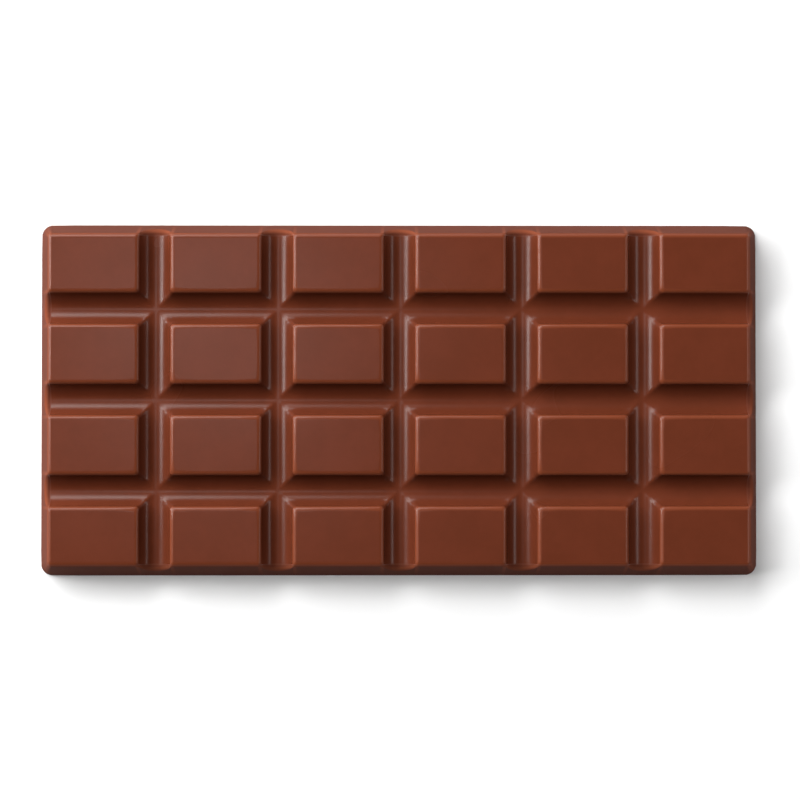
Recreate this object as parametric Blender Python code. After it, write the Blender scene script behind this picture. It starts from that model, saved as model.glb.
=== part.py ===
"""Moulded chocolate bar: a drafted slab, scored by round-bottomed grooves into six by four segments.

Frame: metres, +Z up, +X along the bar. The origin is the centre of the flat underside.
Run with: blender --background --python part.py
"""
import math

import bmesh
import bpy
from mathutils import Vector

MM = 0.001

# Segments of the bar
COLUMNS = 6
ROWS = 4
PITCH_X = 26.3 * MM             # groove to groove, along the bar
PITCH_Y = 19.6 * MM             # groove to groove, across the bar

# Slab, as it leaves the mould
LENGTH = 156.0 * MM             # over the foot
WIDTH = 76.4 * MM               # over the foot
HEIGHT = 8.0 * MM
SIDE_TAPER = 2.7 * MM           # how far the top edge stands in from the foot
FOOT_CORNER = 2.6 * MM          # radius of the outline's corners at the foot
TOP_CORNER = 0.9 * MM           # radius of the outline's corners at the top face
FOOT_ROUNDING = 0.35 * MM       # radius of the edge round the underside
RIM_ROUNDING = 1.2 * MM         # radius of the edge round the top face

# Grooves: a round floor, steep drafted walls and a rounded lip
GROOVE_DEPTH = 3.5 * MM
CROSS_GROOVE_WIDTH = 8.5 * MM   # over the lips of the grooves that run across the bar
LONG_GROOVE_WIDTH = 8.5 * MM    # over the lips of the grooves that run along the bar
WALL_STEEPNESS = math.radians(75.0)
LIP_ROUNDING = 1.0 * MM

# Fineness of the round stretches
CORNER_STEPS = 6
EDGE_STEPS = 5
FLOOR_STEPS = 10                # from the middle of a groove's floor to its wall
LIP_STEPS = 5
CUTTER_CLEARANCE = 3.0 * MM     # how far a cutter stands out of the slab

CHOCOLATE_COLOUR = (0.165, 0.047, 0.024, 1.0)
CHOCOLATE_ROUGHNESS = 0.32


def remove_everything():
    """Empty the scene."""
    for item in list(bpy.data.objects):
        bpy.data.objects.remove(item, do_unlink=True)


def chocolate():
    """Tempered milk chocolate: an even brown with a soft gloss."""
    material = bpy.data.materials.new("milk_chocolate")
    material.use_nodes = True
    shader = material.node_tree.nodes["Principled BSDF"]
    shader.inputs["Base Color"].default_value = CHOCOLATE_COLOUR
    shader.inputs["Roughness"].default_value = CHOCOLATE_ROUGHNESS
    shader.inputs["Metallic"].default_value = 0.0
    material.diffuse_color = CHOCOLATE_COLOUR
    return material


def new_object(name, shape):
    """Turn a bmesh into a linked object, with its faces pointing out."""
    bmesh.ops.recalc_face_normals(shape, faces=shape.faces)
    mesh = bpy.data.meshes.new(name)
    shape.to_mesh(mesh)
    shape.free()
    item = bpy.data.objects.new(name, mesh)
    bpy.context.scene.collection.objects.link(item)
    return item


def arc_steps(steps):
    """Fractions of a round stretch, from its start to its end."""
    return [step / steps for step in range(steps + 1)]


def outline(inset, height):
    """Rounded rectangle at one height, standing in from the foot's outline by inset."""
    share = inset / SIDE_TAPER
    radius = FOOT_CORNER + (TOP_CORNER - FOOT_CORNER) * share
    centre_x = LENGTH / 2 - inset - radius
    centre_y = WIDTH / 2 - inset - radius
    points = []
    for quarter, (side_x, side_y) in enumerate(((1, 1), (-1, 1), (-1, -1), (1, -1))):
        for fraction in arc_steps(CORNER_STEPS):
            angle = (quarter + fraction) * math.pi / 2
            x = side_x * centre_x + radius * math.cos(angle)
            y = side_y * centre_y + radius * math.sin(angle)
            points.append(Vector((x, y, height)))
    return points


def side_profile():
    """Side of the slab as (inset, height) pairs, from the underside to the top face."""
    steepness = math.atan2(HEIGHT, SIDE_TAPER)
    pairs = []
    # Round edge of the foot, which leaves the underside level and turns up into the side.
    # Insets are measured from its widest point.
    for fraction in arc_steps(EDGE_STEPS):
        turn = (math.pi - steepness) * fraction
        inset = FOOT_ROUNDING * (1 - math.sin(turn))
        height = FOOT_ROUNDING * (1 - math.cos(turn))
        pairs.append((inset, height))
    # Round edge of the rim, which leaves the side and ends level with the top face.
    foot_overhang = FOOT_ROUNDING * (math.tan((math.pi - steepness) / 2) - 1)
    rim_start = SIDE_TAPER - foot_overhang
    rim_reach = RIM_ROUNDING * math.tan(steepness / 2)
    for fraction in arc_steps(EDGE_STEPS):
        turn = steepness * (1 - fraction)
        inset = rim_start + rim_reach - RIM_ROUNDING * math.sin(turn)
        height = HEIGHT - RIM_ROUNDING * (1 - math.cos(turn))
        pairs.append((inset, height))
    return pairs


def make_slab():
    """Loft the slab through its outlines and close it below and above."""
    shape = bmesh.new()
    rings = []
    for inset, height in side_profile():
        rings.append([shape.verts.new(point) for point in outline(inset, height)])
    for lower, upper in zip(rings, rings[1:]):
        for index in range(len(lower)):
            following = (index + 1) % len(lower)
            shape.faces.new((lower[index], lower[following], upper[following], upper[index]))
    shape.faces.new(reversed(rings[0]))
    shape.faces.new(rings[-1])
    return new_object("chocolate_bar", shape)


def groove_half_profile(width):
    """Half of a groove as (distance from its middle, height), from its floor to the top face."""
    reach = width / 2
    run = math.tan(WALL_STEEPNESS)
    rise = 1 - math.cos(WALL_STEEPNESS)
    both_radii = (reach - GROOVE_DEPTH / run) / (math.sin(WALL_STEEPNESS) - rise / run)
    floor_radius = both_radii - LIP_ROUNDING
    pairs = []
    for fraction in arc_steps(FLOOR_STEPS):
        turn = WALL_STEEPNESS * fraction
        height = HEIGHT - GROOVE_DEPTH + floor_radius * (1 - math.cos(turn))
        pairs.append((floor_radius * math.sin(turn), height))
    for fraction in arc_steps(LIP_STEPS):
        turn = WALL_STEEPNESS * (1 - fraction)
        height = HEIGHT - LIP_ROUNDING * (1 - math.cos(turn))
        pairs.append((reach - LIP_ROUNDING * math.sin(turn), height))
    return pairs


def cutter_section(width):
    """Closed section of a groove cutter: the groove, carried on upwards past the top face."""
    half = groove_half_profile(width)
    # The last short chord of the lip is drawn on past the top face, so that it cuts it cleanly.
    (before_x, before_z), (last_x, last_z) = half[-2], half[-1]
    half[-1] = (2 * last_x - before_x, 2 * last_z - before_z)
    half.append((half[-1][0], HEIGHT + CUTTER_CLEARANCE))
    mirrored = [(-distance, height) for distance, height in reversed(half[1:])]
    return mirrored + half


def add_groove(shape, width, place, start, finish):
    """Sweep a groove's section from start to finish; place turns (across, along, up) into a point."""
    section = cutter_section(width)
    ends = []
    for along in (start, finish):
        ends.append([shape.verts.new(place(across, along, up)) for across, up in section])
    near, far = ends
    for index in range(len(section)):
        following = (index + 1) % len(section)
        shape.faces.new((near[index], near[following], far[following], far[index]))
    shape.faces.new(reversed(near))
    shape.faces.new(far)


def make_cutters():
    """One cutter object for the grooves across the bar and one for those along it."""
    across = bmesh.new()
    reach = WIDTH / 2 + CUTTER_CLEARANCE
    for column in range(1, COLUMNS):
        middle = (column - COLUMNS / 2) * PITCH_X
        add_groove(across, CROSS_GROOVE_WIDTH, lambda a, b, c, m=middle: (m + a, b, c), -reach, reach)
    along = bmesh.new()
    reach = LENGTH / 2 + CUTTER_CLEARANCE
    for row in range(1, ROWS):
        middle = (row - ROWS / 2) * PITCH_Y
        add_groove(along, LONG_GROOVE_WIDTH, lambda a, b, c, m=middle: (b, m + a, c), -reach, reach)
    return [new_object("cutter_across", across), new_object("cutter_along", along)]


def cut(body, cutters):
    """Take the cutters away from the body, and keep them as wire guides."""
    for cutter in cutters:
        cutter.hide_render = True
        cutter.display_type = "WIRE"
        taken = body.modifiers.new(cutter.name, "BOOLEAN")
        taken.operation = "DIFFERENCE"
        taken.solver = "EXACT"
        taken.object = cutter


def main():
    remove_everything()
    bar = make_slab()
    bar.data.materials.append(chocolate())
    cut(bar, make_cutters())
    bar.data.shade_smooth()
    bar.data.set_sharp_from_angle(angle=math.radians(30.0))


main()
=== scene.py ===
"""Moulded milk chocolate bar: a scored slab, its material and a plain pale stage.

Laid out as a Blender add-on and run as a script. Lengths are metres, +Z is up, +X runs along the bar.
"""
import math

import bpy
from bpy.props import (
    FloatProperty,
    FloatVectorProperty,
    IntProperty,
    PointerProperty,
)
from mathutils import Matrix, Vector


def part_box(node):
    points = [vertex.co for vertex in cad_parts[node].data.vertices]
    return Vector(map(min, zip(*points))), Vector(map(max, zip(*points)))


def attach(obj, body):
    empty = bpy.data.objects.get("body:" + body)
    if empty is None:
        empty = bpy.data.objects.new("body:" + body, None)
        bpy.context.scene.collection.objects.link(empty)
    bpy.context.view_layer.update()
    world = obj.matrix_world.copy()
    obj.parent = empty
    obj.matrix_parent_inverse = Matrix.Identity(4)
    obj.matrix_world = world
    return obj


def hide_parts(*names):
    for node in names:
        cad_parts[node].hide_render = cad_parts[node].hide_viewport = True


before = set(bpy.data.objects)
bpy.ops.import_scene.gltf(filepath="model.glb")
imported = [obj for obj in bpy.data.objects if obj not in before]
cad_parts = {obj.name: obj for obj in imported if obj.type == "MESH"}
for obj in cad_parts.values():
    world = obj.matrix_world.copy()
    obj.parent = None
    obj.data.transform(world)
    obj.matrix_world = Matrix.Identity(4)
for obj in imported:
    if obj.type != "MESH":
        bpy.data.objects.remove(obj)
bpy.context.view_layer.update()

bl_info = {
    "name": "Moulded Chocolate Bar",
    "version": (1, 0, 0),
    "blender": (4, 5, 0),
    "location": "View3D > Sidebar > Chocolate",
    "description": "A bar of milk chocolate, scored into segments, and the stage it lies on",
    "category": "Add Mesh",
}

MM = 0.001
BAR_NODE = "chocolate_bar"
BAR_LOW, BAR_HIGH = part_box(BAR_NODE)
BAR_SIZE = BAR_HIGH - BAR_LOW

# Mesh lines from the middle of a groove's floor to the middle of a segment
FLOOR_LINES = 11
WALL_LINES = 1
LIP_LINES = 7
FACE_LINES = 3
HALF_LINES = FLOOR_LINES + WALL_LINES + LIP_LINES + FACE_LINES
# Mesh lines from the middle of an outermost segment to the bar's side
RIM_LINES = 8
EDGE_LINES = FACE_LINES + RIM_LINES
# Mesh lines up the bar's side: round its foot, then up its flat. Lines at these shares of the way up
# stand between two holding lines, and the last one is the edge of the rim
FOOT_LINES = 5
SIDE_SHARES = (0.35, 0.7)
SIDE_LINES = len(SIDE_SHARES) + 3
HOLDING_GAP = 0.12 * MM         # from a round edge to the line that holds the flat beside it
# Painted highlight: where this attribute is 1, the rim and the lips are painted a lighter brown
PAINTED_HIGHLIGHT_EDGE = "painted_highlight_edge"         # mesh attribute: 1 in the middle of a lip or of the rim, 0 on the flats

# Unevenness of the moulded surface
WAVE_WIDTH = 14 * MM
WAVE_RANGE = (0.25, 0.75)       # of the noise that gives the waves, from their bottom to their top
STILL_FOOT = (0.5 * MM, 3 * MM)     # heights between which the waves grow from nothing to full

# Brown of the chocolate: clouds with a finer mottle in them
CLOUD_WIDTH = 9 * MM
MOTTLE_WIDTH = 1.5 * MM
MOTTLE_SHARE = 0.35
PATCH_RANGE = (0.45, 0.9)       # of clouds and mottle together, from the main brown to the warm one
# Painted shade: the sides are painted a darker brown from these turns of the rim downwards
SIDE_SHADE_TURNS = (0.9, 1.2)   # radians the rim has turned down where the sides' brown begins and is full

# Gloss of the chocolate
CHOCOLATE_IOR = 1.46
CHOCOLATE_SPECULAR = 0.2
BREATH_WIDTH = 20 * MM
BREATH_RANGE = (0.2, 0.8)       # of the noise, from the glossiest to the dullest of the satin
SATIN_ROUGHNESS = (0.245, 0.275)
RUBBED_ROUGHNESS = 1.0
RUBBED_TURNS = (0.4, 0.9)       # radians the rim has turned down where rubbing begins and is full
POURED_ROUGHNESS = 0.55
POURED_HEIGHTS = (0.05 * MM, 0.4 * MM)      # between which the poured side's dullness fades out
RIPPLE_WIDTH = 4 * MM
RIPPLE_HEIGHT = 0.004 * MM

# Soft panels that face the bar. Each has a name, degrees round from +X, degrees up, a distance, a width,
# a height and a brightness
LAMP_DISTANCE = 0.8
CARD_DISTANCE = 0.25
LAMPS = (
    ("softbox_left", 143, 37, LAMP_DISTANCE, 0.391, 0.363, 10.8),
    ("softbox_back", 112, 37, LAMP_DISTANCE, 0.319, 0.363, 11.2),
    ("softbox_core_low", 165, 28, LAMP_DISTANCE, 0.125, 0.112, 42.0),
    ("softbox_core_high", 175, 40, LAMP_DISTANCE, 0.106, 0.25, 27.0),
    ("high_panel", 139, 56, LAMP_DISTANCE, 0.62, 0.168, 3.0),
    ("left_low_panel", 165, 12, LAMP_DISTANCE, 0.41, 0.11, 8.0),
    ("back_low_panel", 91, 20, LAMP_DISTANCE, 0.18, 0.11, 17.0),
    ("overhead_panel", 150, 80.5, LAMP_DISTANCE, 0.14, 0.15, 5.8),
    ("right_floor_strip", 22.5, 4.3, LAMP_DISTANCE, 0.63, 0.08, 4.0),
    ("left_floor_strip", 157.5, 4.3, LAMP_DISTANCE, 0.63, 0.08, 24.0),
    ("near_card", 0, 35, CARD_DISTANCE, 0.21, 0.044, 6.0),
)
HORIZON_RANGE = (0.12, 0.2)     # sines of the angles up between which the pale horizon fades out
SENSOR_WIDTH = 36.0             # of the camera, in millimetres


def linear(code):
    """Turn an sRGB hex colour into linear red, green and blue."""
    values = [int(code[place:place + 2], 16) / 255 for place in (1, 3, 5)]
    return tuple(v / 12.92 if v <= 0.04045 else ((v + 0.055) / 1.055) ** 2.4 for v in values)


def add(tree, kind, settings=None, inputs=None):
    """Add a node with its settings, and set its inputs or link them to sockets or other nodes."""
    node = tree.nodes.new(kind)
    for name, value in (settings or {}).items():
        setattr(node, name, value)
    for key, value in (inputs or {}).items():
        if isinstance(value, bpy.types.Node):
            value = next(socket for socket in value.outputs if socket.enabled)
        if isinstance(value, bpy.types.NodeSocket):
            tree.links.new(value, node.inputs[key])
        else:
            node.inputs[key].default_value = value
    return node


def new_tree(name, inputs, outputs):
    """Start a geometry node tree from {name: kind of socket}, and return it with its input sockets."""
    tree = bpy.data.node_groups.new(name, "GeometryNodeTree")
    for socket_name, kind in inputs.items():
        tree.interface.new_socket(socket_name, in_out="INPUT", socket_type=kind)
    for socket_name, kind in outputs.items():
        tree.interface.new_socket(socket_name, in_out="OUTPUT", socket_type=kind)
    return tree, add(tree, "NodeGroupInput").outputs


# ---------------------------------------------------------------- sizes and colours


class BarSizes(bpy.types.PropertyGroup):
    """Sizes, unevenness and colours of the bar."""

    columns: IntProperty(
        name="Columns", description="Segments along the bar", default=6, min=1, max=20)
    rows: IntProperty(
        name="Rows", description="Segments across the bar", default=4, min=1, max=20)
    pitch_along: FloatProperty(
        name="Pitch Along", description="From groove to groove along the bar",
        default=26.3 * MM, min=0.01, precision=4, subtype="DISTANCE", unit="LENGTH")
    pitch_across: FloatProperty(
        name="Pitch Across", description="From groove to groove across the bar",
        default=19.6 * MM, min=0.01, precision=4, subtype="DISTANCE", unit="LENGTH")
    side_taper: FloatProperty(
        name="Side Taper", description="How far the top edge stands in from the foot",
        default=2.7 * MM, min=0.0001, precision=5, subtype="DISTANCE", unit="LENGTH")
    foot_corner: FloatProperty(
        name="Foot Corner", description="Radius of the outline's corners at the foot",
        default=2.6 * MM, min=0.0001, precision=5, subtype="DISTANCE", unit="LENGTH")
    top_corner: FloatProperty(
        name="Top Corner", description="Radius of the outline's corners at the top face",
        default=0.9 * MM, min=0.0001, precision=5, subtype="DISTANCE", unit="LENGTH")
    foot_rounding: FloatProperty(
        name="Foot Rounding", description="Radius of the edge round the underside",
        default=0.35 * MM, min=0.0001, precision=5, subtype="DISTANCE", unit="LENGTH")
    rim_rounding: FloatProperty(
        name="Rim Rounding", description="Radius of the edge round the top face",
        default=1.2 * MM, min=0.0001, precision=5, subtype="DISTANCE", unit="LENGTH")
    groove_depth: FloatProperty(
        name="Groove Depth", description="Depth of every groove below the top face",
        default=3.5 * MM, min=0.0005, precision=5, subtype="DISTANCE", unit="LENGTH")
    cross_groove_width: FloatProperty(
        name="Cross Groove Width", description="Over the lips of the grooves that run across the bar",
        default=8.5 * MM, min=0.001, precision=5, subtype="DISTANCE", unit="LENGTH")
    long_groove_width: FloatProperty(
        name="Long Groove Width", description="Over the lips of the grooves that run along the bar",
        default=8.5 * MM, min=0.001, precision=5, subtype="DISTANCE", unit="LENGTH")
    wall_steepness: FloatProperty(
        name="Wall Steepness", description="Slope of the groove walls",
        default=math.radians(75.0), min=0.5, max=1.5, subtype="ANGLE", unit="ROTATION")
    lip_rounding: FloatProperty(
        name="Lip Rounding", description="Radius of the edges along the grooves",
        default=1.0 * MM, min=0.0001, precision=5, subtype="DISTANCE", unit="LENGTH")
    segment_corner: FloatProperty(
        name="Segment Corner", description="Radius of the segments' corners where grooves cross",
        default=0.9 * MM, min=0.0, precision=5, subtype="DISTANCE", unit="LENGTH")
    unevenness: FloatProperty(
        name="Unevenness", description="How far the moulded surface wanders from its true shape",
        default=0.03 * MM, min=0.0, precision=5, subtype="DISTANCE", unit="LENGTH")
    seed: IntProperty(
        name="Seed", description="Picks where the unevenness falls", default=7, min=0)
    chocolate_colour: FloatVectorProperty(
        name="Chocolate", description="Main brown of the chocolate",
        default=linear("#542616"), size=3, min=0.0, max=1.0, subtype="COLOR")
    warm_colour: FloatVectorProperty(
        name="Warm Mottle", description="Brown of the faint warmer patches",
        default=linear("#582818"), size=3, min=0.0, max=1.0, subtype="COLOR")
    # Painted highlight: a lighter brown painted on the rim and the lips, standing in for their bright edge
    # lines
    edge_highlight_colour: FloatVectorProperty(
        name="Thin Edges", description="Brown of the rim and the lips, where light comes through",
        default=linear("#66311D"), size=3, min=0.0, max=1.0, subtype="COLOR")
    # Painted shade: a darker brown painted on the sides below the rim, so that they look less lit
    side_shade_colour: FloatVectorProperty(
        name="Sides", description="Brown of the sides, dulled where they slid out of the mould",
        default=linear("#502415"), size=3, min=0.0, max=1.0, subtype="COLOR")


class StageSizes(bpy.types.PropertyGroup):
    """Camera, lights and floor."""

    camera_distance: FloatProperty(
        name="Camera Distance", description="From the lens to the floor under the bar",
        default=440 * MM, min=0.1, subtype="DISTANCE", unit="LENGTH")
    camera_lean: FloatProperty(
        name="Camera Lean", description="How far the camera stands towards the bar's near side",
        default=math.radians(1.0), subtype="ANGLE", unit="ROTATION")
    camera_pan: FloatProperty(
        name="Camera Pan", description="How far the camera stands towards the bar's left end",
        default=math.radians(0.5), subtype="ANGLE", unit="ROTATION")
    view_width: FloatProperty(
        name="View Width", description="Width of floor that the camera takes in",
        default=174.9 * MM, min=0.01, subtype="DISTANCE", unit="LENGTH")
    aim_along: FloatProperty(
        name="Aim Along", description="How far past the bar's middle the camera looks, along the bar",
        default=0.17 * MM, precision=5, subtype="DISTANCE", unit="LENGTH")
    aim_across: FloatProperty(
        name="Aim Across", description="How far past the bar's middle the camera looks, across the bar",
        default=0.04 * MM, precision=5, subtype="DISTANCE", unit="LENGTH")
    lamp_brightness: FloatProperty(
        name="Lamp Brightness", description="Brightness of all the lamps, as a share of their own",
        default=1.0, min=0.0)
    room_brightness: FloatProperty(
        name="Room Brightness", description="Brightness of the room overhead",
        default=0.0, min=0.0)
    horizon_brightness: FloatProperty(
        name="Horizon Brightness", description="Brightness of the room level with the floor",
        default=1.0, min=0.0)
    floor_start: FloatProperty(
        name="Floor Fade Start", description="Distance from the bar where the floor begins to fade",
        default=100 * MM, min=0.01, subtype="DISTANCE", unit="LENGTH")
    floor_end: FloatProperty(
        name="Floor Fade End", description="Distance from the bar where the floor has gone",
        default=190 * MM, min=0.02, subtype="DISTANCE", unit="LENGTH")
    floor_colour: FloatVectorProperty(
        name="Floor", description="Colour of the floor",
        default=linear("#E4E4E4"), size=3, min=0.0, max=1.0, subtype="COLOR")


# ---------------------------------------------------------------- sections of the bar


def side_steepness(sizes):
    """Slope of the bar's sides, from level."""
    return math.atan2(BAR_SIZE.z, sizes.side_taper)


def rim_inset(sizes, turn):
    """How far the round edge of the rim stands in from the foot where it has turned down by turn."""
    steepness = side_steepness(sizes)
    foot_overhang = sizes.foot_rounding * (math.tan((math.pi - steepness) / 2) - 1)
    reach = sizes.rim_rounding * math.tan(steepness / 2)
    return sizes.side_taper - foot_overhang + reach - sizes.rim_rounding * math.sin(turn)


def floor_radius(sizes, width):
    """Radius of a groove's round floor, which runs into its walls without a break."""
    run = math.tan(sizes.wall_steepness)
    rise = 1 - math.cos(sizes.wall_steepness)
    both_radii = (width / 2 - sizes.groove_depth / run) / (math.sin(sizes.wall_steepness) - rise / run)
    return both_radii - sizes.lip_rounding


def groove_depths(sizes):
    """Depths of the mesh lines, from the middle of a groove's floor to the end of its lip."""
    rise = 1 - math.cos(sizes.wall_steepness)
    radius = floor_radius(sizes, sizes.cross_groove_width)
    depths = []
    for line in range(FLOOR_LINES + 1):
        turn = sizes.wall_steepness * line / FLOOR_LINES
        depths.append(sizes.groove_depth - radius * (1 - math.cos(turn)))
    wall_start, wall_end = depths[-1], sizes.lip_rounding * rise
    for line in range(1, WALL_LINES):
        depths.append(wall_start + (wall_end - wall_start) * line / WALL_LINES)
    for line in range(LIP_LINES + 1):
        turn = sizes.wall_steepness * (1 - line / LIP_LINES)
        depths.append(sizes.lip_rounding * (1 - math.cos(turn)))
    return depths


def groove_reach(sizes, width, depth):
    """Distance from the middle of a groove to the place where it is this deep."""
    radius = floor_radius(sizes, width)
    rise = 1 - math.cos(sizes.wall_steepness)
    above_floor = sizes.groove_depth - depth
    if above_floor <= radius * rise:
        return radius * math.sin(math.acos(1 - above_floor / radius))
    if depth <= sizes.lip_rounding * rise:
        turn = math.acos(1 - depth / sizes.lip_rounding)
        return width / 2 - sizes.lip_rounding * math.sin(turn)
    wall_rise = above_floor - radius * rise
    return radius * math.sin(sizes.wall_steepness) + wall_rise / math.tan(sizes.wall_steepness)


def half_section(sizes, length, segments, pitch, width):
    """Points (distance from a groove's middle, groove depth, fall of the rim), one for each mesh line.

    They run from the groove to the middle of a segment, and on from there to the bar's side.
    """
    points = [(groove_reach(sizes, width, depth), depth, 0) for depth in groove_depths(sizes)]
    middle = pitch / 2
    lip_end = points[-1][0]
    for distance in (lip_end + HOLDING_GAP, lip_end + (middle - lip_end) * 0.5, middle):
        points.append((distance, 0, 0))
    last_groove = (segments / 2 - 1) * pitch
    rim_start = length / 2 - rim_inset(sizes, 0) - last_groove
    for distance in (middle + (rim_start - middle) * 0.5, rim_start - HOLDING_GAP, rim_start):
        points.append((distance, 0, 0))
    for line in range(1, RIM_LINES + 1):
        turn = side_steepness(sizes) * line / RIM_LINES
        distance = length / 2 - rim_inset(sizes, turn) - last_groove
        points.append((distance, 0, sizes.rim_rounding * (1 - math.cos(turn))))
    return points


def side_section(sizes):
    """Points (growth outwards from the rim, share of the way up the side, height), from the underside."""
    steepness = side_steepness(sizes)
    rim_end = rim_inset(sizes, steepness)
    top = BAR_SIZE.z - sizes.rim_rounding * (1 - math.cos(steepness))
    points = []
    for line in range(FOOT_LINES + 1):
        turn = (math.pi - steepness) * line / FOOT_LINES
        inset = sizes.foot_rounding * (1 - math.sin(turn))
        points.append((rim_end - inset, 0, sizes.foot_rounding * (1 - math.cos(turn))))
    growth, _, bottom = points[-1]
    holding = HOLDING_GAP / (top - bottom)
    for share in (holding, *SIDE_SHARES, 1 - holding, 1):
        points.append((growth * (1 - share), share, bottom + (top - bottom) * share))
    return points


# ---------------------------------------------------------------- the bar's geometry nodes


def line_tree():
    """Geometry nodes that turn a mesh line's number into the groove nearest to it.

    Lines are counted from the bar's middle, which is a groove where the number of segments is even and
    half a pitch from one where it is odd. Share grows from 0 in the middle of an outermost segment to 1
    where the rim begins.
    """
    tree, given = new_tree(
        "Groove of a mesh line",
        {"Line": "NodeSocketFloat", "Segments": "NodeSocketFloat", "Pitch": "NodeSocketFloat"},
        {"Groove": "NodeSocketFloat", "Direction": "NodeSocketFloat", "Step": "NodeSocketFloat",
         "Share": "NodeSocketFloat"})
    count = add(tree, "ShaderNodeMath", {"operation": "ABSOLUTE"}, {0: given["Line"]})
    odd = add(tree, "ShaderNodeMath", {"operation": "MODULO"}, {0: given["Segments"], 1: 2.0})
    from_groove = add(tree, "ShaderNodeMath", {"operation": "MULTIPLY_ADD"},
                      {0: odd, 1: float(HALF_LINES), 2: count})
    grooves_on = add(tree, "ShaderNodeMath", {"operation": "DIVIDE"},
                     {0: from_groove, 1: 2.0 * HALF_LINES})
    nearest = add(tree, "ShaderNodeMath", {"operation": "ROUND"}, {0: grooves_on})
    padded = add(tree, "ShaderNodeMath", {"operation": "ADD"}, {0: given["Segments"], 1: odd})
    outermost = add(tree, "ShaderNodeMath", {"operation": "MULTIPLY_ADD"}, {0: padded, 1: 0.5, 2: -1.0})
    groove = add(tree, "ShaderNodeMath", {"operation": "MINIMUM"}, {0: nearest, 1: outermost})
    past = add(tree, "ShaderNodeMath", {"operation": "MULTIPLY_ADD"},
               {0: groove, 1: -2.0 * HALF_LINES, 2: from_groove})
    step = add(tree, "ShaderNodeMath", {"operation": "ABSOLUTE"}, {0: past})
    direction = add(tree, "ShaderNodeMath", {"operation": "SIGN"}, {0: past})
    pitches = add(tree, "ShaderNodeMath", {"operation": "MULTIPLY_ADD"}, {0: odd, 1: -0.5, 2: groove})
    place = add(tree, "ShaderNodeMath", {"operation": "MULTIPLY"}, {0: pitches, 1: given["Pitch"]})
    share = add(tree, "ShaderNodeMapRange", None, {
        "Value": step, "From Min": float(HALF_LINES), "From Max": float(HALF_LINES + FACE_LINES)})
    add(tree, "NodeGroupOutput", None,
        {"Groove": place, "Direction": direction, "Step": step, "Share": share})
    return tree


def corner_tree():
    """Geometry nodes that bend the square corner of a mesh ring into a round one.

    Past is how far a point stands beyond the rounding's centre on each axis, and Pull is how far it
    comes back towards it.
    """
    tree, given = new_tree("Round corner", {"Past": "NodeSocketVector"}, {"Pull": "NodeSocketVector"})
    beyond = add(tree, "ShaderNodeVectorMath", {"operation": "MAXIMUM"}, {0: given["Past"], 1: (0, 0, 0)})
    level = add(tree, "ShaderNodeVectorMath", {"operation": "MULTIPLY"}, {0: beyond, 1: (1, 1, 0)})
    length = add(tree, "ShaderNodeVectorMath", {"operation": "LENGTH"}, {0: level})
    axes = add(tree, "ShaderNodeSeparateXYZ", None, {0: level}).outputs
    larger = add(tree, "ShaderNodeMath", {"operation": "MAXIMUM"}, {0: axes["X"], 1: axes["Y"]})
    kept = add(tree, "ShaderNodeMath", {"operation": "DIVIDE"}, {0: larger, 1: length})
    lost = add(tree, "ShaderNodeMath", {"operation": "SUBTRACT"}, {0: 1.0, 1: kept})
    pull = add(tree, "ShaderNodeVectorMath", {"operation": "SCALE"}, {0: level, "Scale": lost})
    add(tree, "NodeGroupOutput", None, {"Pull": pull})
    return tree


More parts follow.
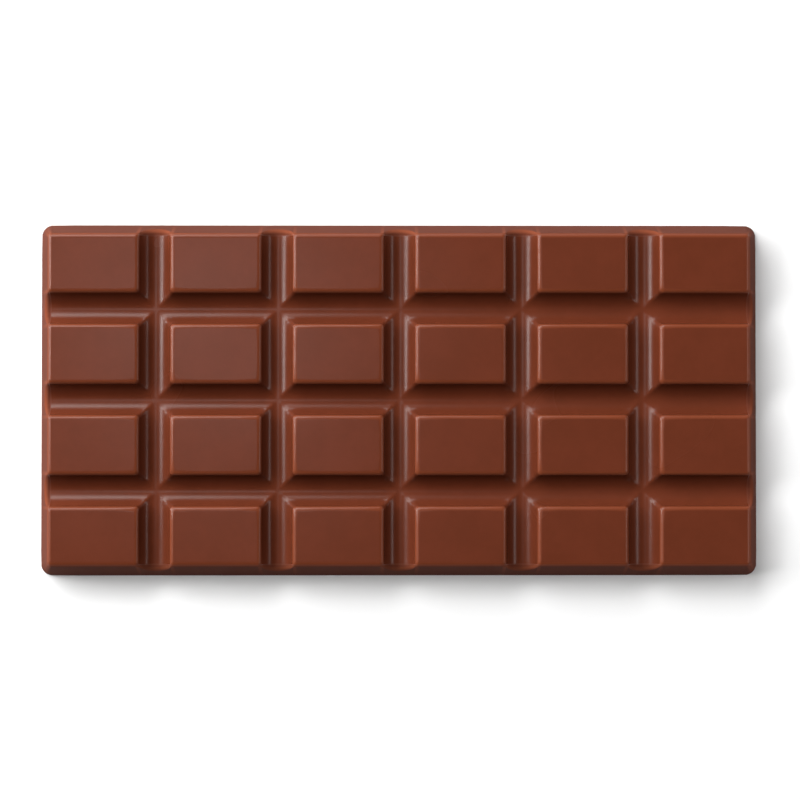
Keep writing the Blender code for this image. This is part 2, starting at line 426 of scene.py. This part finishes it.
def bar_tree():
    """Geometry nodes that lay a closed box of mesh lines over the bar's sections."""
    tree, given = new_tree(
        "Scored chocolate bar",
        {"Sections": "NodeSocketGeometry", "Columns": "NodeSocketFloat", "Rows": "NodeSocketFloat",
         "Pitch Along": "NodeSocketFloat", "Pitch Across": "NodeSocketFloat",
         "Groove Depth": "NodeSocketFloat", "Segment Corner": "NodeSocketFloat",
         "Rim Outline": "NodeSocketVector", "Rim Corner": "NodeSocketFloat",
         "Corner Growth": "NodeSocketFloat", "Rim Fall": "NodeSocketFloat",
         "Side Lean": "NodeSocketFloat", "Unevenness": "NodeSocketFloat", "Seed": "NodeSocketFloat",
         "Material": "NodeSocketMaterial"},
        {"Geometry": "NodeSocketGeometry"})

    # A closed box with a vertex at each crossing of mesh lines, numbered outwards from its middle
    segments = add(tree, "ShaderNodeCombineXYZ", None, {"X": given["Columns"], "Y": given["Rows"]})
    spans = add(tree, "ShaderNodeVectorMath", {"operation": "MULTIPLY_ADD"}, {
        0: segments,
        1: (2 * HALF_LINES, 2 * HALF_LINES, 0),
        2: (2 * EDGE_LINES - 2 * HALF_LINES, 2 * EDGE_LINES - 2 * HALF_LINES, FOOT_LINES + SIDE_LINES)})
    counts = add(tree, "ShaderNodeVectorMath", {"operation": "ADD"}, {0: spans, 1: (1, 1, 1)})
    count = add(tree, "ShaderNodeSeparateXYZ", None, {0: counts}).outputs
    lattice = add(tree, "GeometryNodeMeshCube", None, {
        "Size": spans, "Vertices X": count["X"], "Vertices Y": count["Y"], "Vertices Z": count["Z"]})
    place = add(tree, "GeometryNodeInputPosition")
    line = add(tree, "ShaderNodeSeparateXYZ", None, {0: place}).outputs
    side = add(tree, "ShaderNodeVectorMath", {"operation": "SIGN"}, {0: place})

    line_group = line_tree()
    along = add(tree, "GeometryNodeGroup", {"node_tree": line_group}, {
        "Line": line["X"], "Segments": given["Columns"], "Pitch": given["Pitch Along"]}).outputs
    across = add(tree, "GeometryNodeGroup", {"node_tree": line_group}, {
        "Line": line["Y"], "Segments": given["Rows"], "Pitch": given["Pitch Across"]}).outputs

    # The sections, read at each line's own step and at the deeper of the two grooves' steps
    section = add(tree, "GeometryNodeInputPosition")
    half_count = HALF_LINES + EDGE_LINES + 1
    deeper = add(tree, "ShaderNodeMath", {"operation": "MINIMUM"}, {0: along["Step"], 1: across["Step"]})
    level = add(tree, "ShaderNodeMath", {"operation": "MINIMUM"}, {0: deeper, 1: float(HALF_LINES)})
    across_step = add(tree, "ShaderNodeMath", {"operation": "ADD"},
                      {0: across["Step"], 1: float(half_count)})
    across_level = add(tree, "ShaderNodeMath", {"operation": "ADD"}, {0: level, 1: float(half_count)})
    side_step = add(tree, "ShaderNodeMath", {"operation": "ADD"},
                    {0: line["Z"], 1: 2.0 * half_count + (FOOT_LINES + SIDE_LINES) / 2})
    read = []
    for step in (along["Step"], across_step, level, across_level, side_step):
        sample = add(tree, "GeometryNodeSampleIndex", {"data_type": "FLOAT_VECTOR", "domain": "POINT"},
                     {"Geometry": given["Sections"], "Value": section, "Index": step})
        read.append(add(tree, "ShaderNodeSeparateXYZ", None, {0: sample}).outputs)
    own_along, own_across, level_along, level_across, up_side = read

    # Segments' corners at the crossings, rounder towards the top, and none in the middle of a segment
    worn = add(tree, "ShaderNodeMath", {"operation": "DIVIDE"},
               {0: level_along["Y"], 1: given["Groove Depth"]})
    climbed = add(tree, "ShaderNodeMath", {"operation": "SUBTRACT"}, {0: 1.0, 1: worn})
    roundness = add(tree, "ShaderNodeMath", {"operation": "SQRT"}, {0: climbed})
    near_groove = add(tree, "ShaderNodeMath", {"operation": "SUBTRACT", "use_clamp": True},
                      {0: HALF_LINES - 1.0, 1: level})
    full_corner = add(tree, "ShaderNodeMath", {"operation": "MULTIPLY"},
                      {0: given["Segment Corner"], 1: roundness})
    corner = add(tree, "ShaderNodeMath", {"operation": "MULTIPLY"}, {0: full_corner, 1: near_groove})
    own = add(tree, "ShaderNodeCombineXYZ", None, {"X": own_along["X"], "Y": own_across["X"]})
    ring = add(tree, "ShaderNodeCombineXYZ", None, {"X": level_along["X"], "Y": level_across["X"]})
    centre = add(tree, "ShaderNodeVectorMath", {"operation": "ADD"}, {0: ring, 1: corner})
    past_centre = add(tree, "ShaderNodeVectorMath", {"operation": "SUBTRACT"}, {0: centre, 1: own})
    corner_group = corner_tree()
    pull = add(tree, "GeometryNodeGroup", {"node_tree": corner_group}, {"Past": past_centre})
    reach = add(tree, "ShaderNodeVectorMath", {"operation": "ADD"}, {0: own, 1: pull})
    direction = add(tree, "ShaderNodeCombineXYZ", None, {"X": along["Direction"], "Y": across["Direction"]})
    groove = add(tree, "ShaderNodeCombineXYZ", None, {"X": along["Groove"], "Y": across["Groove"]})
    spread = add(tree, "ShaderNodeVectorMath", {"operation": "MULTIPLY_ADD"},
                 {0: reach, 1: direction, 2: groove})

    # Sides: they lean outwards, and a groove that runs out through one lowers its rim
    sunk = add(tree, "ShaderNodeMath", {"operation": "MULTIPLY"}, {0: level_along["Y"], 1: up_side["Y"]})
    growth = add(tree, "ShaderNodeMath", {"operation": "MULTIPLY_ADD"},
                 {0: sunk, 1: given["Side Lean"], 2: up_side["X"]})
    share = add(tree, "ShaderNodeCombineXYZ", None, {"X": along["Share"], "Y": across["Share"]})
    grown = add(tree, "ShaderNodeVectorMath", {"operation": "SCALE"}, {0: share, "Scale": growth})
    wide = add(tree, "ShaderNodeVectorMath", {"operation": "ADD"}, {0: spread, 1: grown})

    # Corners of the bar's outline, rounder towards the foot
    radius = add(tree, "ShaderNodeMath", {"operation": "MULTIPLY_ADD"},
                 {0: growth, 1: given["Corner Growth"], 2: given["Rim Corner"]})
    outset = add(tree, "ShaderNodeMath", {"operation": "SUBTRACT"}, {0: growth, 1: radius})
    pivot = add(tree, "ShaderNodeVectorMath", {"operation": "ADD"}, {0: given["Rim Outline"], 1: outset})
    past_pivot = add(tree, "ShaderNodeVectorMath", {"operation": "SUBTRACT"}, {0: wide, 1: pivot})
    pull_in = add(tree, "GeometryNodeGroup", {"node_tree": corner_group}, {"Past": past_pivot})
    rounded = add(tree, "ShaderNodeVectorMath", {"operation": "SUBTRACT"}, {0: wide, 1: pull_in})
    plan = add(tree, "ShaderNodeVectorMath", {"operation": "MULTIPLY"}, {0: rounded, 1: side})
    flat = add(tree, "ShaderNodeSeparateXYZ", None, {0: plan}).outputs

    # Height: down by the groove and by the round rim, and both fade out towards the foot
    rim_fall = add(tree, "ShaderNodeMath", {"operation": "MAXIMUM"},
                   {0: own_along["Z"], 1: own_across["Z"]})
    above_rim = add(tree, "ShaderNodeMath", {"operation": "SUBTRACT"},
                    {0: given["Rim Fall"], 1: rim_fall})
    risen = add(tree, "ShaderNodeMath", {"operation": "MULTIPLY_ADD"},
                {0: above_rim, 1: up_side["Y"], 2: up_side["Z"]})
    height = add(tree, "ShaderNodeMath", {"operation": "SUBTRACT"}, {0: risen, 1: sunk})
    point = add(tree, "ShaderNodeCombineXYZ", None, {"X": flat["X"], "Y": flat["Y"], "Z": height})

    # How thin the edge is: a hump over each lip and over the rim, from 0 up to 1 and back to 0. It marks
    # where the rim and the lips are painted a lighter brown as a painted highlight.
    lip_start = float(FLOOR_LINES + WALL_LINES)
    rim_start = float(HALF_LINES + FACE_LINES)
    thinness = 0.0
    for step, start, lines in (
        (level, lip_start, LIP_LINES),
        (along["Step"], rim_start, RIM_LINES),
        (across["Step"], rim_start, RIM_LINES),
    ):
        over = add(tree, "ShaderNodeMapRange", None, {
            "Value": step, "From Min": start, "From Max": start + lines, "To Max": 2.0})
        left = add(tree, "ShaderNodeMath", {"operation": "SUBTRACT"}, {0: 2.0, 1: over})
        hump = add(tree, "ShaderNodeMath", {"operation": "MULTIPLY"}, {0: over, 1: left})
        thinness = add(tree, "ShaderNodeMath", {"operation": "MAXIMUM"}, {0: hump, 1: thinness})
    thin = add(tree, "ShaderNodeMath", {"operation": "MULTIPLY"}, {0: thinness, 1: up_side["Y"]})
    marked = add(tree, "GeometryNodeStoreNamedAttribute", {"data_type": "FLOAT", "domain": "POINT"},
                 {"Geometry": lattice, "Name": PAINTED_HIGHLIGHT_EDGE, "Value": thin})
    shaped = add(tree, "GeometryNodeSetPosition", None, {"Geometry": marked, "Position": point})

    # Slow waves in the moulded surface, none at the foot
    spot = add(tree, "GeometryNodeInputPosition")
    waves = add(tree, "ShaderNodeTexNoise", {"noise_dimensions": "4D"}, {
        "Vector": spot, "W": given["Seed"], "Scale": 1 / WAVE_WIDTH, "Detail": 1.0, "Roughness": 0.4})
    swing = add(tree, "ShaderNodeMapRange", None, {
        "Value": waves, "From Min": WAVE_RANGE[0], "From Max": WAVE_RANGE[1],
        "To Min": -1.0, "To Max": 1.0})
    up = add(tree, "ShaderNodeSeparateXYZ", None, {0: spot}).outputs
    off_foot = add(tree, "ShaderNodeMapRange", None, {
        "Value": up["Z"], "From Min": STILL_FOOT[0], "From Max": STILL_FOOT[1],
        "To Max": given["Unevenness"]})
    drift = add(tree, "ShaderNodeMath", {"operation": "MULTIPLY"}, {0: swing, 1: off_foot})
    normal = add(tree, "GeometryNodeInputNormal")
    shift = add(tree, "ShaderNodeVectorMath", {"operation": "SCALE"}, {0: normal, "Scale": drift})
    uneven = add(tree, "GeometryNodeSetPosition", None, {"Geometry": shaped, "Offset": shift})

    # A ridge where two grooves cross runs down the long diagonal of each face
    split = add(tree, "GeometryNodeTriangulate", {"quad_method": "LONGEST_DIAGONAL"}, {"Mesh": uneven})
    smooth = add(tree, "GeometryNodeSetShadeSmooth", None, {"Geometry": split})
    real = add(tree, "GeometryNodeRealizeInstances", None, {"Geometry": smooth})
    coated = add(tree, "GeometryNodeSetMaterial", None, {"Geometry": real, "Material": given["Material"]})
    add(tree, "NodeGroupOutput", None, {"Geometry": coated})
    return tree


def build_from_tree(name, points, tree, values):
    """Run a node tree on a set of points and return the result as a plain mesh object."""
    host_mesh = bpy.data.meshes.new(name + "_sections")
    host_mesh.from_pydata(points, [], [])
    host = bpy.data.objects.new(name + "_sections", host_mesh)
    bpy.context.scene.collection.objects.link(host)
    modifier = host.modifiers.new("Shape", "NODES")
    modifier.node_group = tree
    for socket in tree.interface.items_tree:
        if socket.name in values:
            modifier[socket.identifier] = values[socket.name]
    made = host.evaluated_get(bpy.context.evaluated_depsgraph_get())
    mesh = bpy.data.meshes.new_from_object(made)
    host.modifiers.remove(modifier)
    bpy.data.objects.remove(host)
    bpy.data.meshes.remove(host_mesh)
    mesh.name = name
    piece = bpy.data.objects.new(name, mesh)
    bpy.context.scene.collection.objects.link(piece)
    return piece


# ---------------------------------------------------------------- materials


def new_material(name, colour, roughness, ior):
    """A material with a Principled shader, and its tree and shader to add nodes to."""
    material = bpy.data.materials.new(name)
    material.use_nodes = True
    material.diffuse_color = (*colour, 1)
    shader = material.node_tree.nodes["Principled BSDF"]
    shader.inputs["Base Color"].default_value = (*colour, 1)
    shader.inputs["Roughness"].default_value = roughness
    shader.inputs["IOR"].default_value = ior
    return material, material.node_tree, shader


def moulded_milk_chocolate(sizes):
    """Milk chocolate, tempered and set in a polished mould.

    Tempering gives it a satin gloss, cocoa butter and milk leave a faint cloudiness in the brown, the
    sides are dulled as they slide out of the mould, and the underside, poured and open to the air, sets
    duller than the top. The sides are also painted a darker brown below the rim as painted shade, and
    the rim and the lips a lighter brown as a painted highlight.
    """
    colour = tuple(sizes.chocolate_colour)
    material, tree, shader = new_material(
        "milk_chocolate_moulded_satin", colour, SATIN_ROUGHNESS[1], CHOCOLATE_IOR)
    shader.inputs["Specular IOR Level"].default_value = CHOCOLATE_SPECULAR
    place = add(tree, "ShaderNodeTexCoord").outputs["Object"]

    # Cloudiness: faint patches with a finer mottle in them
    clouds = add(tree, "ShaderNodeTexNoise", None, {
        "Vector": place, "Scale": 1 / CLOUD_WIDTH, "Detail": 3.0, "Roughness": 0.55})
    mottle = add(tree, "ShaderNodeTexNoise", None, {
        "Vector": place, "Scale": 1 / MOTTLE_WIDTH, "Detail": 2.0, "Roughness": 0.5})
    both = add(tree, "ShaderNodeMath", {"operation": "MULTIPLY_ADD"},
               {0: mottle, 1: MOTTLE_SHARE, 2: clouds})
    patches = add(tree, "ShaderNodeMapRange", {"interpolation_type": "SMOOTHSTEP"}, {
        "Value": both, "From Min": PATCH_RANGE[0], "From Max": PATCH_RANGE[1]})
    brown = add(tree, "ShaderNodeMix", {"data_type": "RGBA"}, {
        0: patches, 6: (*colour, 1), 7: (*tuple(sizes.warm_colour), 1)})

    # Painted shade: the sides are painted a darker brown below the rim. Painted highlight: the rim and
    # the lips are painted a lighter brown, standing in for their bright edge lines.
    out = add(tree, "ShaderNodeVectorMath", {"operation": "ABSOLUTE"}, {0: place})
    past_edge = add(tree, "ShaderNodeVectorMath", {"operation": "SUBTRACT"}, {0: out, 1: BAR_SIZE / 2})
    beyond = add(tree, "ShaderNodeSeparateXYZ", None, {0: past_edge}).outputs
    nearest_edge = add(tree, "ShaderNodeMath", {"operation": "MAXIMUM"}, {0: beyond["X"], 1: beyond["Y"]})
    below_rim = add(tree, "ShaderNodeMapRange", None, {
        "Value": nearest_edge, "From Min": -rim_inset(sizes, SIDE_SHADE_TURNS[0]),
        "From Max": -rim_inset(sizes, SIDE_SHADE_TURNS[1])})
    painted_shade_sides = add(tree, "ShaderNodeMix", {"data_type": "RGBA"}, {
        0: below_rim, 6: brown.outputs[2], 7: (*tuple(sizes.side_shade_colour), 1)})
    edge = add(tree, "ShaderNodeAttribute", {"attribute_name": PAINTED_HIGHLIGHT_EDGE}).outputs["Fac"]
    edges_with_painted_highlight = add(tree, "ShaderNodeMix", {"data_type": "RGBA"}, {
        0: edge, 6: painted_shade_sides.outputs[2], 7: (*tuple(sizes.edge_highlight_colour), 1)})
    tree.links.new(edges_with_painted_highlight.outputs[2], shader.inputs["Base Color"])

    # Gloss: satin from the mould with slow duller patches, as if breathed on, dull where the sides rub
    # on their way out of it, and dull on the poured underside
    breath = add(tree, "ShaderNodeTexNoise", None, {
        "Vector": place, "Scale": 1 / BREATH_WIDTH, "Detail": 0.0})
    satin = add(tree, "ShaderNodeMapRange", None, {
        "Value": breath, "From Min": BREATH_RANGE[0], "From Max": BREATH_RANGE[1],
        "To Min": SATIN_ROUGHNESS[0], "To Max": SATIN_ROUGHNESS[1]})
    rubbed = add(tree, "ShaderNodeMapRange", None, {
        "Value": nearest_edge, "From Min": -rim_inset(sizes, RUBBED_TURNS[0]),
        "From Max": -rim_inset(sizes, RUBBED_TURNS[1]), "To Max": RUBBED_ROUGHNESS})
    up = add(tree, "ShaderNodeSeparateXYZ", None, {0: place}).outputs
    poured = add(tree, "ShaderNodeMapRange", None, {
        "Value": up["Z"], "From Min": POURED_HEIGHTS[0], "From Max": POURED_HEIGHTS[1],
        "To Min": POURED_ROUGHNESS, "To Max": 0.0})
    moulded = add(tree, "ShaderNodeMath", {"operation": "MAXIMUM"}, {0: satin, 1: rubbed})
    gloss = add(tree, "ShaderNodeMath", {"operation": "MAXIMUM"}, {0: moulded, 1: poured})
    tree.links.new(gloss.outputs[0], shader.inputs["Roughness"])

    # Surface: ripples that are too shallow to see but in the gloss
    ripples = add(tree, "ShaderNodeTexNoise", None, {
        "Vector": place, "Scale": 1 / RIPPLE_WIDTH, "Detail": 1.0, "Roughness": 0.4})
    rippled = add(tree, "ShaderNodeBump", None, {
        "Strength": 1.0, "Distance": RIPPLE_HEIGHT, "Height": ripples})
    tree.links.new(rippled.outputs[0], shader.inputs["Normal"])
    return material


def painted_floor(stage):
    """White board, sprayed matt: even, with hardly any gloss, fading into the pale room at its edge."""
    colour = tuple(stage.floor_colour)
    material, tree, shader = new_material("white_board_sprayed_matt", colour, 0.9, 1.45)
    shader.inputs["Specular IOR Level"].default_value = 0.1
    place = add(tree, "ShaderNodeTexCoord").outputs["Object"]
    from_bar = add(tree, "ShaderNodeVectorMath", {"operation": "LENGTH"}, {0: place})
    fade = add(tree, "ShaderNodeMapRange", {"interpolation_type": "SMOOTHSTEP"}, {
        "Value": from_bar.outputs["Value"], "From Min": stage.floor_start, "From Max": stage.floor_end,
        "To Min": 1.0, "To Max": 0.0})
    tree.links.new(fade.outputs[0], shader.inputs["Alpha"])
    return material


# ---------------------------------------------------------------- operators and panel


class MESH_OT_scored_chocolate_bar(bpy.types.Operator):
    """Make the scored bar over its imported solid"""

    bl_idname = "mesh.scored_chocolate_bar"
    bl_label = "Chocolate Bar"

    def execute(self, context):
        sizes = context.scene.chocolate_bar
        steepness = side_steepness(sizes)
        rim_end = rim_inset(sizes, steepness)
        corner_growth = (sizes.foot_corner - sizes.top_corner) / sizes.side_taper
        points = half_section(
            sizes, BAR_SIZE.x, sizes.columns, sizes.pitch_along, sizes.cross_groove_width)
        points += half_section(
            sizes, BAR_SIZE.y, sizes.rows, sizes.pitch_across, sizes.long_groove_width)
        points += side_section(sizes)
        piece = build_from_tree("chocolate_bar_moulded", points, bar_tree(), {
            "Columns": float(sizes.columns),
            "Rows": float(sizes.rows),
            "Pitch Along": sizes.pitch_along,
            "Pitch Across": sizes.pitch_across,
            "Groove Depth": sizes.groove_depth,
            "Segment Corner": sizes.segment_corner,
            "Rim Outline": (BAR_SIZE.x / 2 - rim_end, BAR_SIZE.y / 2 - rim_end, 0.0),
            "Rim Corner": sizes.foot_corner - corner_growth * rim_end,
            "Corner Growth": corner_growth,
            "Rim Fall": sizes.rim_rounding * (1 - math.cos(steepness)),
            "Side Lean": 1 / math.tan(steepness),
            "Unevenness": sizes.unevenness,
            "Seed": float(sizes.seed),
            "Material": moulded_milk_chocolate(sizes),
        })
        if not piece.data.polygons:
            raise RuntimeError("the bar came out empty")
        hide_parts(BAR_NODE)
        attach(piece, "root")
        return {"FINISHED"}


class SCENE_OT_chocolate_stage(bpy.types.Operator):
    """Lay the pale floor and set up the soft lights and the camera"""

    bl_idname = "scene.chocolate_stage"
    bl_label = "Stage"

    def execute(self, context):
        stage = context.scene.chocolate_stage
        middle = (BAR_LOW + BAR_HIGH) / 2
        base = Vector((middle.x, middle.y, BAR_LOW.z))

        # A square floor, which has faded out before its edges
        reach = stage.floor_end
        mesh = bpy.data.meshes.new("floor")
        corners = [(-reach, -reach), (reach, -reach), (reach, reach), (-reach, reach)]
        mesh.from_pydata([(x, y, base.z) for x, y in corners], [], [(0, 1, 2, 3)])
        mesh.materials.append(painted_floor(stage))
        floor = bpy.data.objects.new("floor", mesh)
        context.scene.collection.objects.link(floor)

        for name, azimuth, elevation, distance, width, height, brightness in LAMPS:
            turn = math.radians(azimuth)
            climb = math.radians(elevation)
            level = math.cos(climb)
            place = Vector((math.cos(turn) * level, math.sin(turn) * level, math.sin(climb)))
            lamp = bpy.data.lights.new(name, "AREA")
            lamp.shape = "RECTANGLE"
            lamp.size = width
            lamp.size_y = height
            lamp.energy = stage.lamp_brightness * brightness * math.pi * width * height
            panel = bpy.data.objects.new(name, lamp)
            panel.location = base + place * distance
            panel.rotation_euler = place.to_track_quat("Z", "Y").to_euler()
            panel.visible_camera = False
            context.scene.collection.objects.link(panel)

        # A room that is pale level with the floor, so that the floor ends in it unseen
        world = bpy.data.worlds.new("pale_room")
        world.use_nodes = True
        context.scene.world = world
        tree = world.node_tree
        around = add(tree, "ShaderNodeTexCoord").outputs["Generated"]
        up = add(tree, "ShaderNodeSeparateXYZ", None, {0: around}).outputs
        paleness = add(tree, "ShaderNodeMapRange", {"interpolation_type": "SMOOTHSTEP"}, {
            "Value": up["Z"], "From Min": HORIZON_RANGE[0], "From Max": HORIZON_RANGE[1],
            "To Min": stage.horizon_brightness, "To Max": stage.room_brightness})
        tree.links.new(paleness.outputs[0], tree.nodes["Background"].inputs["Strength"])
        tree.nodes["Background"].inputs["Color"].default_value = (1, 1, 1, 1)

        camera = bpy.data.cameras.new("camera")
        camera.sensor_width = SENSOR_WIDTH
        camera.lens = SENSOR_WIDTH * stage.camera_distance / stage.view_width
        holder = bpy.data.objects.new("camera", camera)
        aim = base + Vector((stage.aim_along, stage.aim_across, 0))
        back = Vector((-math.tan(stage.camera_pan), -math.tan(stage.camera_lean), 1)).normalized()
        holder.location = aim + back * stage.camera_distance
        right = Vector((0, 1, 0)).cross(back).normalized()
        holder.rotation_euler = Matrix((right, back.cross(right), back)).transposed().to_euler()
        context.scene.collection.objects.link(holder)
        context.scene.camera = holder
        context.scene.view_settings.view_transform = "Standard"
        return {"FINISHED"}


class VIEW3D_PT_chocolate(bpy.types.Panel):
    """Sizes and operators of the chocolate bar"""

    bl_idname = "VIEW3D_PT_chocolate"
    bl_label = "Chocolate Bar"
    bl_space_type = "VIEW_3D"
    bl_region_type = "UI"
    bl_category = "Chocolate"

    def draw(self, context):
        layout = self.layout
        for settings, operator in (
            (context.scene.chocolate_bar, MESH_OT_scored_chocolate_bar),
            (context.scene.chocolate_stage, SCENE_OT_chocolate_stage),
        ):
            column = layout.column()
            for name in settings.__annotations__:
                column.prop(settings, name)
            column.operator(operator.bl_idname)


CLASSES = (BarSizes, StageSizes, MESH_OT_scored_chocolate_bar, SCENE_OT_chocolate_stage, VIEW3D_PT_chocolate)


def register():
    """Register the classes and give the scene their settings."""
    for item in CLASSES:
        bpy.utils.register_class(item)
    bpy.types.Scene.chocolate_bar = PointerProperty(type=BarSizes)
    bpy.types.Scene.chocolate_stage = PointerProperty(type=StageSizes)


def unregister():
    """Undo register."""
    del bpy.types.Scene.chocolate_stage
    del bpy.types.Scene.chocolate_bar
    for item in reversed(CLASSES):
        bpy.utils.unregister_class(item)


def main():
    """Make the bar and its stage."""
    register()
    bpy.ops.mesh.scored_chocolate_bar()
    bpy.ops.scene.chocolate_stage()


if __name__ == "__main__":
    main()
